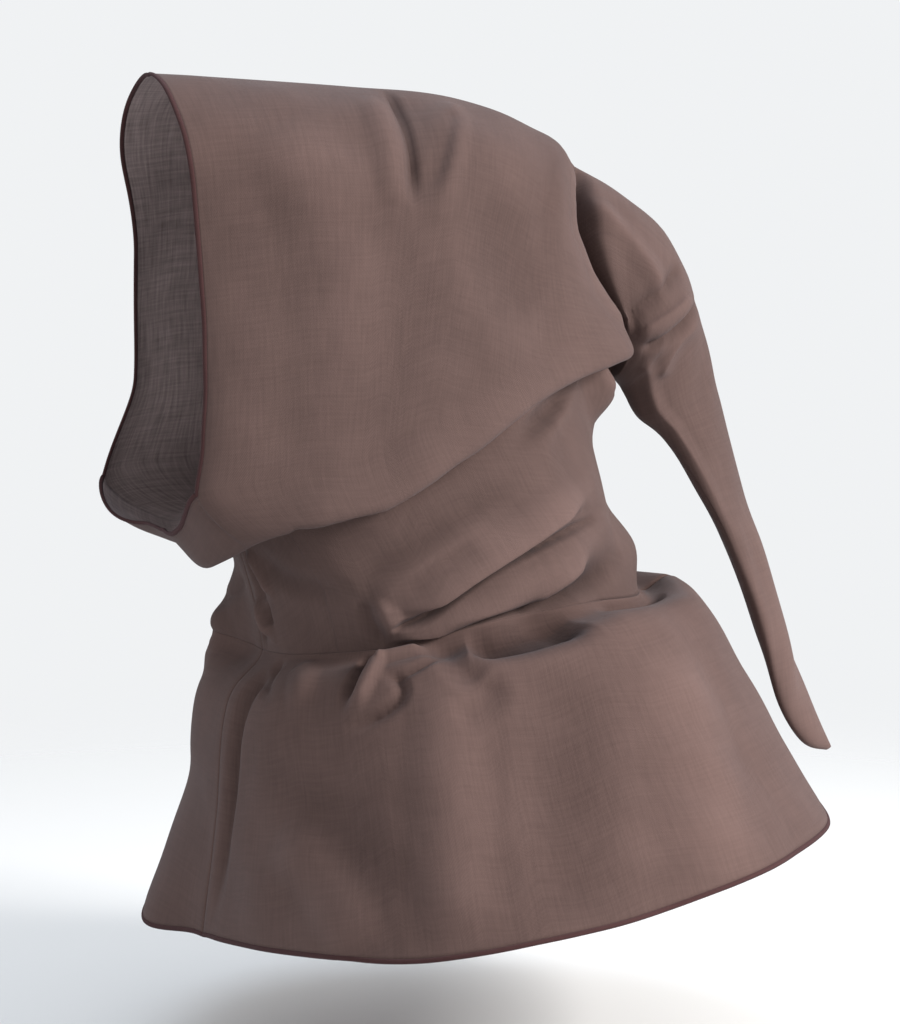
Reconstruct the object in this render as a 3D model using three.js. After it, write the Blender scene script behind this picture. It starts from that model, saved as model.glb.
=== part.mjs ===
import * as THREE from 'three';

// A cloth hood with a short shoulder cape and a long tail at the back of the crown.
// The wearer faces -Y, the wearer's left is +X, and the origin is the inside of the crown.

// Driving sizes, in millimetres.
const wall = 1.5;
const seamGap = 0.3;
const joinGap = 0.6;
const joinWall = 0.8;
const hemWidth = 4;
const hemThickness = 2.6;
const hemSides = 6;

// Stations run round the hood and the cape, from the front seam to the back seam.
const frontSeam = -0.3;
const faceRim = 0;
const backSeam = 1;

// Levels go down the hood: the ridge, jaw, cheek fold, tuck under it, neck and neck seam.
const ridgeLevel = 0;
const jawLevel = 1;
const tuckLevel = 3;
const neckSeamLevel = 5;
const crownEnd = 0.45;
const aboveJawLevel = 0.8;
const lineColumns = ['station', 'x', 'y', 'z'];

const topLine = table(['station', 'y', 'z'], [
  [0, -157, 10],
  [0.2, -97, 7.5],
  [0.4, -32, 4],
  [0.6, 30, -1],
  [0.8, 80, -17],
  [0.93, 101, -29.5],
  [1, 117, -43],
]);
// How wide the head part is, how much of its fall is the rounded crown, and how it bows back.
const headShape = table(['station', 'halfWidth', 'crown', 'bow'], [
  [0, 60, 0.27, 9],
  [0.2, 74, 0.33, 4],
  [0.4, 84, 0.38, 2],
  [0.6, 86, 0.4, 0],
  [0.8, 73, 0.42, -8],
  [0.88, 67, 0.4, -14],
  [0.91, 60, 0.4, -16],
  [0.95, 38, 0.4, -18],
  [1, 12, 0.4, -22],
]);
const jawLine = table(lineColumns, [
  [-0.3, 0, -151, -261],
  [-0.15, 40, -154, -256],
  [0, 76, -152, -232],
  [0.2, 94, -100, -222],
  [0.4, 100, -52, -207],
  [0.6, 101, -8, -184],
  [0.8, 90, 52, -155],
  [0.93, 57, 119, -134],
  [1, 15, 130, -136],
]);
const foldLine = table(lineColumns, [
  [-0.3, 0, -130, -280],
  [-0.15, 38, -130, -277],
  [0, 74, -122, -263],
  [0.2, 95, -86, -247],
  [0.4, 101, -46, -231],
  [0.6, 101, -2, -206],
  [0.8, 87, 60, -174],
  [0.93, 53, 131, -158],
  [1, 10, 140, -158],
]);
const tuckLine = table(lineColumns, [
  [-0.3, 0, -112, -264],
  [-0.15, 30, -108, -262],
  [0, 58, -98, -251],
  [0.2, 78, -72, -236],
  [0.4, 86, -38, -222],
  [0.6, 84, 2, -197],
  [0.8, 68, 54, -166],
  [0.93, 40, 102, -156],
  [1, 0, 141, -171],
]);
const neckLine = table(lineColumns, [
  [-0.3, 0, -97, -298],
  [-0.15, 36, -92, -296],
  [0, 68, -75, -292],
  [0.2, 92, -46, -285],
  [0.4, 103, -12, -274],
  [0.6, 104, 30, -260],
  [0.8, 86, 78, -244],
  [0.93, 50, 113, -236],
  [1, 0, 129, -235],
]);
const seamLine = table(lineColumns, [
  [-0.3, 0, -90, -335],
  [-0.15, 36, -84, -333],
  [0, 66, -64, -329],
  [0.2, 92, -36, -323],
  [0.4, 105, 4, -312],
  [0.6, 102, 46, -306],
  [0.8, 86, 92, -304],
  [0.93, 52, 138, -306],
  [1, 0, 160, -308],
]);
const shoulderLine = table(lineColumns, [
  [-0.3, 0, -112, -366],
  [-0.15, 46, -105, -360],
  [0, 84, -86, -352],
  [0.2, 118, -52, -340],
  [0.4, 134, -4, -328],
  [0.6, 133, 56, -318],
  [0.8, 111, 126, -312],
  [0.93, 63, 174, -308],
  [1, 0, 191, -305],
]);
const hemLine = table(lineColumns, [
  [-0.3, 0, -129, -507],
  [-0.15, 76, -121, -498],
  [0, 140, -100, -490],
  [0.2, 194, -62, -483],
  [0.4, 221, -6, -472],
  [0.6, 217, 72, -462],
  [0.8, 174, 180, -448],
  [0.9, 112, 239, -445],
  [1, 0, 281, -446],
]);

// The neck is crumpled in two rolls with a crease between them. The levels that the rolls' crests
// and the crease have in the grid are first, and then the levels that they have on the neck.
const rolledGrid = { free: 3.3, upper: 4.1, crease: 4.3, lower: 4.5 };
const rollLine = table(['station', 'upper', 'crease', 'lower'], [
  [-0.3, 4.3, 4.52, 4.76],
  [0, 4.4, 4.62, 4.82],
  [0.2, 4.4, 4.66, 4.85],
  [0.54, 4.04, 4.27, 4.58],
  [0.88, 3.84, 4.04, 4.32],
  [1, 3.8, 4, 4.26],
]);

// The tail's outer and inner edges at each step, and half its thickness between them.
const tailColumns = ['step', 'outerX', 'outerY', 'outerZ', 'innerX', 'innerY', 'innerZ', 'half'];
const tailLine = table(tailColumns, [
  [0, 0, 117.5, -43, 0, 141, -171, 15],
  [0.9, 0, 131, -49, 0, 142.5, -173, 18],
  [1.3, 0, 138, -53, 0, 143, -173.5, 37],
  [2, 0, 152, -62, 1, 144, -175, 42],
  [3, 0, 174, -82, 2, 146, -177, 41],
  [4, 0, 190, -106, 3, 148, -179, 36],
  [5, -1, 198, -126, 5, 150, -182, 27],
  [6, -4, 206, -148, 7, 153, -188, 22],
  [7, -8, 214, -172, 10, 160, -200, 19],
  [8, -14, 227, -204, 15, 176, -214, 14],
  [9, -18, 242, -253, 18, 205, -256, 10],
  [10, -20, 259, -307, 19, 233, -310, 9],
  [11, -17, 271, -343, 17, 247, -349, 8],
  [12, -10, 288, -384, 10, 261, -389, 7],
  [13, -5, 300, -410, 6, 280, -415, 5],
  [14, 0, 305, -423, 0, 303, -425, 1.5],
]);

// How far round the tail's tube each turn of the hood's open edge leads.
const turnLine = table(['turn', 'share'], [
  [0, 0],
  [0.08, 0.2],
  [0.15, 0.36],
  [0.333, 0.63],
  [0.667, 0.8],
  [1, 1],
]);
const tailEnd = 14;
const calmSteps = 1.6;
const joinSteps = { wide: [0.8, 1.6], onward: [3, 1.6] };
const underside = { from: 0.35, run: 0.3 };
const stepAhead = 0.05;
const thinShare = 0.3;

// Folds: how far each stands out or sinks in, how wide it is, and three places along it.
const foldColumns = ['side', 'rise', 'reach', 'fromU', 'fromV', 'viaU', 'viaV', 'toU', 'toV'];
const hoodFolds = table(foldColumns, [
  [1, -9, 17, 0.45, 0.08, 0.455, 0.22, 0.46, 0.4],
  [1, 4, 16, 0.4, 0.12, 0.4, 0.28, 0.41, 0.42],
  [1, -4, 15, 0.53, 0.24, 0.51, 0.34, 0.49, 0.45],
  [1, 4, 36, 0.2, 0.25, 0.28, 0.5, 0.3, 0.8],
  [1, -4, 32, 0.6, 0.35, 0.7, 0.6, 0.8, 0.85],
  [1, 4, 14, 0.92, 0.2, 0.93, 0.6, 0.94, 1.3],
  [1, 6, 12, 0.72, 3.3, 0.86, 3.18, 0.96, 3.02],
  [1, -5, 13, 0.72, 3.5, 0.86, 3.4, 0.95, 3.25],
  [1, -6, 18, 0.1, 3.75, 0.383, 3.615, 0.66, 3.74],
  [1, 6, 15, 0.2, 4.12, 0.54, 4.1, 0.86, 4.2],
  [1, -8, 9, 0.2, 4.335, 0.48, 4.3, 0.84, 4.4],
  [1, 10, 15, 0.2, 4.56, 0.5, 4.6, 0.82, 4.5],
  [1, -5, 12, 0.3, 4.82, 0.6, 4.84, 0.88, 4.68],
  [1, 5, 12, 0.19, 4, 0.18, 4.15, 0.21, 4.38],
  [1, 5, 11, -0.22, 3.3, -0.2, 3.6, -0.17, 3.9],
  [1, -6, 11, -0.25, 3.35, -0.24, 3.7, -0.235, 4.1],
  [1, 5, 10, -0.28, 3.98, -0.25, 4.2, -0.22, 4.46],
  [-1, -6, 17, 0.5, 0.1, 0.52, 0.25, 0.55, 0.4],
  [-1, 4, 36, 0.25, 0.3, 0.33, 0.5, 0.38, 0.8],
  [-1, 8, 17, 0.86, 4.1, 0.5, 4.1, 0.24, 4.1],
  [-1, -9, 12, 0.88, 4.3, 0.52, 4.3, 0.22, 4.3],
  [-1, 7, 14, 0.86, 4.5, 0.54, 4.5, 0.22, 4.5],
  [-1, 5, 12, 0.94, 3.05, 0.86, 3.2, 0.76, 3.3],
  [-1, 4, 10, -0.22, 3.1, -0.12, 3.4, -0.02, 3.7],
  [-1, -4, 9, -0.24, 3.7, -0.16, 4, -0.06, 4.3],
]);
const capeFolds = table(foldColumns, [
  [1, -5, 11, -0.165, 0.06, -0.18, 0.18, -0.14, 0.32],
  [1, 4, 14, -0.1, 0.08, -0.06, 0.2, -0.04, 0.36],
  [1, -8, 11, 0.1, 0.06, 0.105, 0.2, 0.08, 0.37],
  [1, 8, 12, 0.28, 0.08, 0.17, 0.14, 0.11, 0.38],
  [1, -6, 11, 0.3, 0.25, 0.22, 0.34, 0.1, 0.45],
  [1, -7, 14, 0.32, 0.1, 0.38, 0.3, 0.34, 0.47],
  [1, -12, 22, 0.46, 0.18, 0.6, 0.22, 0.74, 0.2],
  [1, 6, 32, 0.43, 0.3, 0.34, 0.62, 0.26, 1],
  [1, -5, 26, 0.18, 0.5, 0.18, 0.76, 0.19, 1],
  [1, 5, 34, 0.06, 0.5, 0.06, 0.75, 0.06, 1],
  [1, -5, 14, -0.18, 0.14, -0.222, 0.45, -0.28, 0.9],
  [1, 5, 44, 0.76, 0.4, 0.73, 0.7, 0.7, 1],
  [1, -5, 40, 0.57, 0.4, 0.52, 0.7, 0.49, 1],
  [-1, 5, 13, -0.1, 0.1, 0.02, 0.22, 0.1, 0.38],
  [-1, -5, 11, 0.06, 0.1, 0.1, 0.2, 0.16, 0.3],
  [-1, 6, 13, 0.18, 0.1, 0.22, 0.22, 0.3, 0.38],
  [-1, -8, 15, 0.36, 0.1, 0.5, 0.13, 0.7, 0.1],
  [-1, 7, 36, 0.48, 0.3, 0.42, 0.62, 0.38, 1],
  [-1, -6, 32, 0.28, 0.5, 0.24, 0.76, 0.22, 1],
  [-1, 5, 44, 0.8, 0.4, 0.77, 0.7, 0.75, 1],
]);
const tailFolds = table(foldColumns, [
  [1, -4, 10, 3.5, 0.1, 2.8, 0.2, 1.6, 0.36],
  [1, 5, 11, 4.3, 0.12, 3.4, 0.26, 2.1, 0.38],
  [1, -5, 10, 4.9, 0.08, 4, 0.28, 2.5, 0.41],
  [1, 3, 10, 3.6, 0.5, 6, 0.62, 9.4, 0.84],
  [-1, 4, 10, 5, 0.1, 3.8, 0.5, 2.2, 0.76],
  [-1, -4, 9, 5.6, 0.24, 4.4, 0.6, 3.2, 0.84],
]);

const foldSamples = 10;
const foldFade = 0.3;
const foldEndShare = 0.35;

// Places where the whole cloth is drawn to one side, and how far that reaches.
const draws = table(['x', 'y', 'z', 'byX', 'byY', 'byZ', 'reach'], [
  [-76, -152, -232, -3, -15, -4, 60],
  [-58, -150, -30, -1, -7, 0, 66],
  [-100, -128, -110, 0, -6, 0, 80],
  [42, -130, -278, 0, -4, -5, 34],
  [-20, -128, -280, 0, 2, 7, 42],
  [-56, -80, -322, -4, -20, 2, 46],
  [-56, -84, -342, -2, -4, 0, 44],
  [-70, -92, -386, 0, -10, 0, 90],
  [-78, -118, -498, 0, -23, -16, 88],
  [98, 48, -312, -9, -4, -3, 36],
  [22, 122, -183, 8, 12, 0, 24],
  [40, 128, -276, 2, 8, 0, 32],
]);

// The grids that the pieces are made on. Lines lie closer together where the cloth folds.
const hoodStations = [-0.3, -0.24, -0.18, -0.12, -0.06, 0, 0.05, 0.1, 0.15, 0.2, 0.26, 0.32, 0.37,
  0.41, 0.45, 0.49, 0.53, 0.58, 0.64, 0.7, 0.76, 0.82, 0.87, 0.91, 0.94, 0.97, 1];
const hoodLevels = [0, 0.07, 0.15, 0.24, 0.34, 0.45, 0.58, 0.72, 0.87, 1, 1.4, 1.75, 2.05, 2.4, 2.7,
  3, 3.3, 3.6, 3.85, 4.1, 4.3, 4.5, 4.7, 4.86, 5];
const capeStations = [-0.3, -0.25, -0.2, -0.15, -0.1, -0.05, 0, 0.05, 0.1, 0.14, 0.18, 0.22, 0.26,
  0.3, 0.35, 0.4, 0.45, 0.5, 0.56, 0.62, 0.68, 0.74, 0.8, 0.86, 0.91, 0.96, 1];
const capeLevels = [0, 0.06, 0.12, 0.19, 0.27, 0.35, 0.44, 0.55, 0.66, 0.77, 0.88, 1];
const tailSteps = [0, 0.75, 1.1, 1.45, 1.8, 2.3, 2.8, 3.3, 3.8, 4.3, 4.8, 5.3, 5.8, 6.4, 7, 7.6, 8.3, 9,
  9.7, 10.4, 11, 11.6, 12.2, 12.8, 13.4, 13.8];
const tailJoinLevels = [0, 0.07, 0.15, 0.24, 0.45, 0.72, 1, 1.4, 1.75, 2.05, 2.4, 2.7, 3];

function table(columns, rows) {
  return rows.map((row) => Object.fromEntries(columns.map((name, i) => [name, row[i]])));
}

function ease(t) {
  const inside = Math.min(Math.max(t, 0), 1);
  return inside * inside * (3 - 2 * inside);
}

// The value of one column at any place along a table, on a smooth curve through its rows.
function along(rows, key, column, at) {
  const last = rows.length - 1;
  const slope = (k) => (rows[k + 1][column] - rows[k][column]) / (rows[k + 1][key] - rows[k][key]);
  const knotSlope = (k) => {
    if (k === 0) {
      return 1.5 * slope(0) - 0.5 * knotSlope(1);
    }
    if (k === last) {
      return 1.5 * slope(last - 1) - 0.5 * knotSlope(last - 1);
    }
    const before = rows[k][key] - rows[k - 1][key];
    const after = rows[k + 1][key] - rows[k][key];
    return (slope(k - 1) * after + slope(k) * before) / (before + after);
  };
  let i = 0;
  while (i < last - 1 && at >= rows[i + 1][key]) {
    i += 1;
  }
  const span = rows[i + 1][key] - rows[i][key];
  const t = (at - rows[i][key]) / span;
  const endWeight = ease(t);
  const startPull = (t ** 3 - 2 * t ** 2 + t) * span;
  const endPull = (t ** 3 - t ** 2) * span;
  return (1 - endWeight) * rows[i][column] + endWeight * rows[i + 1][column]
    + startPull * knotSlope(i) + endPull * knotSlope(i + 1);
}

function pointOn(rows, station) {
  const [x, y, z] = ['x', 'y', 'z'].map((column) => along(rows, 'station', column, station));
  return new THREE.Vector3(x, y, z);
}

// A point on the curve through a row of points. The first of them only sets where it comes from.
function through(points, at) {
  const last = points.length - 1;
  const i = Math.min(Math.floor(at), last - 2);
  const t = at - i;
  const [before, start, end] = [points[i], points[i + 1], points[i + 2]];
  const after = i + 3 > last ? end.clone().multiplyScalar(2).sub(start) : points[i + 3];
  const startPull = end.clone().sub(before).multiplyScalar(0.5);
  const endPull = after.clone().sub(start).multiplyScalar(0.5);
  return start.clone().lerp(end, ease(t))
    .addScaledVector(startPull, t ** 3 - 2 * t ** 2 + t)
    .addScaledVector(endPull, t ** 3 - t ** 2);
}

// The smooth shape of the left half, before its folds.
function headPoint(station, level) {
  const [topY, topZ] = ['y', 'z'].map((column) => along(topLine, 'station', column, station));
  const [halfWidth, crown, bow] = ['halfWidth', 'crown', 'bow']
    .map((column) => along(headShape, 'station', column, station));
  const jaw = pointOn(jawLine, station);
  const round = Math.min(level / crownEnd, 1) * Math.PI / 2;
  const below = Math.max((level - crownEnd) / (jawLevel - crownEnd), 0);
  const fall = crown * (1 - Math.cos(round)) + (1 - crown) * below;
  const x = halfWidth * Math.sin(round) + (jaw.x - halfWidth) * ease(below);
  return new THREE.Vector3(
    x,
    topY + (jaw.y - topY) * fall + bow * 4 * fall * (1 - fall),
    topZ + (jaw.z - topZ) * fall,
  );
}

function hoodPoint(station, level) {
  if (level < jawLevel) {
    return headPoint(station, level);
  }
  const lines = [jawLine, foldLine, tuckLine, neckLine, seamLine].map((rows) => pointOn(rows, station));
  const above = station >= faceRim
    ? headPoint(station, aboveJawLevel)
    : lines[0].clone().multiplyScalar(2).sub(lines[1]);
  return through([above, ...lines], level - jawLevel);
}

// The level on the neck that a grid level has at a station, so that grid lines follow the rolls.
function rolledLevel(station, level) {
  if (level <= rolledGrid.free) {
    return level;
  }
  const at = (column) => along(rollLine, 'station', column, station);
  const knots = [
    [rolledGrid.free, rolledGrid.free],
    [rolledGrid.upper, at('upper')],
    [rolledGrid.crease, at('crease')],
    [rolledGrid.lower, at('lower')],
    [neckSeamLevel, neckSeamLevel],
  ];
  const i = knots.findIndex(([grid], k) => k > 0 && level <= grid);
  const [[fromGrid, from], [toGrid, to]] = [knots[i - 1], knots[i]];
  return from + (to - from) * (level - fromGrid) / (toGrid - fromGrid);
}

function hoodGridPoint(station, level) {
  return hoodPoint(station, rolledLevel(station, level));
}

function capePoint(station, level) {
  const [neck, seam, shoulder, hem] = [neckLine, seamLine, shoulderLine, hemLine]
    .map((rows) => pointOn(rows, station));
  const middle = shoulder.clone().lerp(hem, 0.5);
  return through([neck, seam, shoulder, middle, hem], level * 3);
}

// The tail starts as the hood's open back edge and becomes a flattened tube.
// A turn runs from -1 to 1 round it, with 0 on its outer edge and 0.5 on its left.
function tailPoint(step, turn) {
  const edge = (name, at) => {
    const [x, y, z] = ['X', 'Y', 'Z'].map((axis) => along(tailLine, 'step', name + axis, at));
    return new THREE.Vector3(x, y, z);
  };
  const [outer, inner] = [edge('outer', step), edge('inner', step)];
  const [before, after] = [Math.max(step - stepAhead, 0), Math.min(step + stepAhead, tailEnd)];
  const onward = edge('outer', after).add(edge('inner', after)).sub(edge('outer', before))
    .sub(edge('inner', before));
  const across = outer.clone().sub(inner).multiplyScalar(0.5);
  const left = new THREE.Vector3().crossVectors(onward, across).normalize();
  left.multiplyScalar(Math.sign(left.x) * along(tailLine, 'step', 'half', step));
  const angle = Math.sign(turn) * Math.PI * along(turnLine, 'turn', 'share', Math.abs(turn));
  const tube = outer.add(inner).multiplyScalar(0.5)
    .addScaledVector(across, Math.cos(angle))
    .addScaledVector(left, Math.sin(angle));
  const join = hoodPoint(backSeam, tuckLevel * Math.abs(turn));
  join.x *= Math.sign(turn);
  const under = ease((Math.abs(turn) - underside.from) / underside.run);
  const [widened, freed] = [joinSteps.wide, joinSteps.onward]
    .map(([outerRun, innerRun]) => ease(step / (outerRun + (innerRun - outerRun) * under)));
  return new THREE.Vector3(
    join.x + (tube.x - join.x) * widened,
    join.y + (tube.y - join.y) * freed,
    join.z + (tube.z - join.z) * freed,
  );
}

// A sheet is a grid of points, with the cells left out that the piece doesn't have.
function gridSheet(us, vs, pointAt, { keeps = () => true, closed = false }) {
  const spots = new Map();
  const points = [];
  const faces = [];
  const spot = (i, j) => {
    const key = `${i} ${j % vs.length}`;
    if (!spots.has(key)) {
      const [u, v] = [us[i], vs[j % vs.length]];
      spots.set(key, points.length);
      points.push({ u, v, place: pointAt(u, v), onSeam: false });
    }
    return spots.get(key);
  };
  const rows = closed ? vs.length : vs.length - 1;
  for (let i = 0; i < us.length - 1; i += 1) {
    for (let j = 0; j < rows; j += 1) {
      if (keeps(us[i], vs[j])) {
        faces.push([spot(i, j), spot(i, j + 1), spot(i + 1, j + 1), spot(i + 1, j)]);
      }
    }
  }
  return { points, faces };
}

function normalsOf({ points, faces }) {
  const normals = points.map(() => new THREE.Vector3());
  for (const face of faces) {
    const [first, ...others] = face.map((i) => points[i].place);
    const sides = others.map((place) => place.clone().sub(first));
    const normal = new THREE.Vector3();
    for (let k = 1; k < sides.length; k += 1) {
      normal.add(new THREE.Vector3().crossVectors(sides[k - 1], sides[k]));
    }
    face.forEach((i) => normals[i].add(normal));
  }
  points.forEach((point, i) => {
    normals[i].x *= point.onSeam ? 0 : 1;
    normals[i].normalize();
  });
  return normals;
}

// Moves a sheet's points along its normals, so that it has its folds. Calm is where it has none.
function foldSheet(sheet, folds, pointAt, calm) {
  const paths = folds.map((fold) => foldPath(fold, pointAt));
  const normals = normalsOf(sheet);
  sheet.points.forEach((point, i) => {
    const heights = folds.map((fold, k) => foldHeight(fold, paths[k], point.place));
    const height = heights.reduce((sum, value) => sum + value, 0);
    point.place.addScaledVector(normals[i], height * calm(point.u, point.v));
  });
}

function foldPath(fold, pointAt) {
  const bend = (column) => 2 * fold['via' + column] - 0.5 * (fold['from' + column] + fold['to' + column]);
  const [from, middle, to] = [
    new THREE.Vector2(fold.fromU, fold.fromV),
    new THREE.Vector2(bend('U'), bend('V')),
    new THREE.Vector2(fold.toU, fold.toV),
  ];
  return new THREE.QuadraticBezierCurve(from, middle, to)
    .getPoints(foldSamples)
    .map((spot) => pointAt(spot.x, spot.y));
}

function foldHeight(fold, path, place) {
  let distance = Infinity;
  let share = 0;
  for (let i = 0; i < foldSamples; i += 1) {
    const stretch = new THREE.Line3(path[i], path[i + 1]);
    const t = stretch.closestPointToPointParameter(place, true);
    const gap = stretch.at(t, new THREE.Vector3()).distanceTo(place);
    if (gap < distance) {
      distance = gap;
      share = (i + t) / foldSamples;
    }
  }
  const spread = Math.max(1 - (distance / fold.reach) ** 2, 0) ** 2;
  return fold.rise * spread * ease(Math.min(share, 1 - share) / foldFade + foldEndShare);
}

// Puts a left panel on its own side, drawn as the whole cloth is, and clear of the other side.
function settlePanel(sheet, side, isSeam) {
  for (const point of sheet.points) {
    point.place.x *= side;
    const start = point.place.clone();
    for (const pull of draws) {
      const share = ease(1 - start.distanceTo(new THREE.Vector3(pull.x, pull.y, pull.z)) / pull.reach);
      point.place.addScaledVector(new THREE.Vector3(pull.byX, pull.byY, pull.byZ), share);
    }
    point.onSeam = isSeam(point.u, point.v);
    point.place.x = side * (point.onSeam ? seamGap / 2 : Math.max(side * point.place.x, seamGap / 2));
  }
  // The right panel's faces are turned round. The left panel's start at their next corner, so that
  // both panels' faces are split into triangles as mirror images.
  for (const face of sheet.faces) {
    if (side < 0) {
      face.reverse();
    } else {
      face.push(face.shift());
    }
  }
  return sheet;
}

// A sheet becomes cloth: a second layer one wall inside it, and walls along its open edges.
function clothFrom(sheet, wallAt) {
  const normals = normalsOf(sheet);
  const count = sheet.points.length;
  const outside = sheet.points.map((point) => point.place);
  const inside = sheet.points.map((point, i) => (
    point.place.clone().addScaledVector(normals[i], -wallAt(point))
  ));
  const triangles = [];
  const openEdges = new Map();
  for (const face of sheet.faces) {
    for (let k = 1; k < face.length - 1; k += 1) {
      const [a, b, c] = [face[0], face[k], face[k + 1]];
      triangles.push([a, b, c], [a + count, c + count, b + count]);
    }
    face.forEach((a, k) => {
      const b = face[(k + 1) % face.length];
      if (!openEdges.delete(`${b} ${a}`)) {
        openEdges.set(`${a} ${b}`, [a, b]);
      }
    });
  }
  for (const [a, b] of openEdges.values()) {
    triangles.push([a, a + count, b + count], [a, b + count, b]);
  }
  return solidFrom([...outside, ...inside], triangles);
}

function solidFrom(places, triangles) {
  const geometry = new THREE.BufferGeometry().setFromPoints(places);
  geometry.setIndex(triangles.flat());
  geometry.computeVertexNormals();
  return geometry;
}

function spotOf(sheet, [u, v]) {
  return sheet.points.findIndex((point) => point.u === u && point.v === v);
}

// The points along an open edge, each with its normal and a point of the cloth beside it.
function edgeOf(sheet, stops) {
  const normals = normalsOf(sheet);
  return stops.map(({ at, beside }) => ({
    place: sheet.points[spotOf(sheet, at)].place,
    normal: normals[spotOf(sheet, at)],
    beside: sheet.points[spotOf(sheet, beside)].place,
  }));
}

// Joins a left edge and a right one, which run the same way, into one ring.
function ringOf(left, right) {
  const between = (a, b) => ({
    place: a.place.clone().lerp(b.place, 0.5),
    normal: a.normal.clone().add(b.normal).normalize(),
    beside: a.beside.clone().lerp(b.beside, 0.5),
  });
  const last = left.length - 1;
  return [
    between(left[0], right[0]),
    ...left.slice(1, last),
    between(left[last], right[last]),
    ...right.slice(1, last).reverse(),
  ];
}

// A rolled hem runs round a ring, just outside the cloth's edge.
function rolledHem(ring) {
  const places = [];
  const triangles = [];
  ring.forEach(({ place, normal, beside }, i) => {
    const before = ring[(i + ring.length - 1) % ring.length].place;
    const after = ring[(i + 1) % ring.length].place;
    const onward = after.clone().sub(before).normalize();
    const out = new THREE.Vector3().crossVectors(onward, normal).normalize();
    const outSign = Math.sign(out.dot(place.clone().sub(beside)));
    const up = new THREE.Vector3().crossVectors(out, onward).normalize();
    const middle = place.clone()
      .addScaledVector(out, outSign * (seamGap + hemWidth / 2))
      .addScaledVector(up, -wall / 2);
    for (let k = 0; k < hemSides; k += 1) {
      const angle = 2 * Math.PI * k / hemSides;
      const next = (k + 1) % hemSides;
      const [here, there] = [i * hemSides, ((i + 1) % ring.length) * hemSides];
      places.push(middle.clone()
        .addScaledVector(out, Math.cos(angle) * hemWidth / 2)
        .addScaledVector(up, Math.sin(angle) * hemThickness / 2));
      triangles.push([here + k, there + next, here + next], [here + k, there + k, there + next]);
    }
  });
  return solidFrom(places, triangles);
}

// Draws a sheet's first points along it, so that it stays clear of the piece it is sewn to.
function openGap(sheet, gap, pointAt, isFirst, next) {
  for (const point of sheet.points.filter(isFirst)) {
    const onward = pointAt(...next(point)).sub(point.place).normalize();
    point.place.addScaledVector(onward, gap);
  }
}

// The pieces.
function hoodPanel(side) {
  const keeps = (u, v) => u >= faceRim || v >= jawLevel;
  const calm = (u, v) => ease((backSeam - u) / 0.06) * ease((u - frontSeam) / 0.05)
    * ease((neckSeamLevel - v) / 0.2);
  const isSeam = (u, v) => v === ridgeLevel || u === frontSeam || (u === backSeam && v >= tuckLevel);
  const sheet = gridSheet(hoodStations, hoodLevels, hoodGridPoint, { keeps });
  foldSheet(sheet, hoodFolds.filter((fold) => fold.side === side), hoodGridPoint, calm);
  return settlePanel(sheet, side, isSeam);
}

function capePanel(side) {
  const calm = (u, v) => ease((backSeam - u) / 0.08) * ease((u - frontSeam) / 0.05) * ease(v / 0.1);
  const sheet = gridSheet(capeStations, capeLevels, capePoint, {});
  foldSheet(sheet, capeFolds.filter((fold) => fold.side === side), capePoint, calm);
  openGap(sheet, joinGap, capePoint, ({ v }) => v === 0, ({ u }) => [u, capeLevels[1]]);
  return settlePanel(sheet, side, (u) => u === frontSeam || u === backSeam);
}

function tailTube() {
  const halfTurns = tailJoinLevels.map((level) => level / tuckLevel);
  const turns = [...halfTurns, ...halfTurns.slice(1, -1).reverse().map((turn) => -turn)];
  const sheet = gridSheet(tailSteps, turns, tailPoint, { closed: true });
  for (const side of [1, -1]) {
    const pointOnSide = (u, v) => tailPoint(u, side * v);
    const folds = tailFolds.filter((fold) => fold.side === side);
    foldSheet(sheet, folds, pointOnSide, (u) => ease(u / calmSteps));
  }
  openGap(sheet, joinGap, tailPoint, ({ u }) => u === 0, ({ v }) => [tailSteps[1], v]);
  const tip = sheet.points.length;
  const lastRing = turns.map((turn) => spotOf(sheet, [tailSteps.at(-1), turn]));
  sheet.points.push({ u: tailEnd, v: 0, place: tailPoint(tailEnd, 0.5), onSeam: false });
  lastRing.forEach((i, k) => sheet.faces.push([i, lastRing[(k + 1) % turns.length], tip]));
  return sheet;
}

// The open edge of a hood panel round the face: down beside it, then in under the chin.
function faceStops() {
  const besideFace = hoodStations.find((u) => u > faceRim);
  const underJaw = hoodLevels.find((v) => v > jawLevel);
  const down = hoodLevels.filter((v) => v < jawLevel)
    .map((v) => ({ at: [faceRim, v], beside: [besideFace, v] }));
  const corner = { at: [faceRim, jawLevel], beside: [besideFace, underJaw] };
  const inward = hoodStations.filter((u) => u < faceRim).reverse()
    .map((u) => ({ at: [u, jawLevel], beside: [u, underJaw] }));
  return [...down, corner, ...inward];
}

function hemStops() {
  const [aboveHem, hem] = capeLevels.slice(-2);
  return capeStations.map((u) => ({ at: [u, hem], beside: [u, aboveHem] }));
}

const cloth = { color: 0x74605d, roughness: 0.9, metalness: 0 };
const hemCloth = { color: 0x4c3236, roughness: 0.85, metalness: 0 };
const hoodPanels = [hoodPanel(1), hoodPanel(-1)];
const capePanels = [capePanel(1), capePanel(-1)];
const tail = tailTube();
const faceRing = ringOf(...hoodPanels.map((panel) => edgeOf(panel, faceStops())));
const hemRing = ringOf(...capePanels.map((panel) => edgeOf(panel, hemStops())));
const tailWall = ({ u }) => Math.min(wall, joinWall + u, along(tailLine, 'step', 'half', u) * thinShare);

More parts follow.
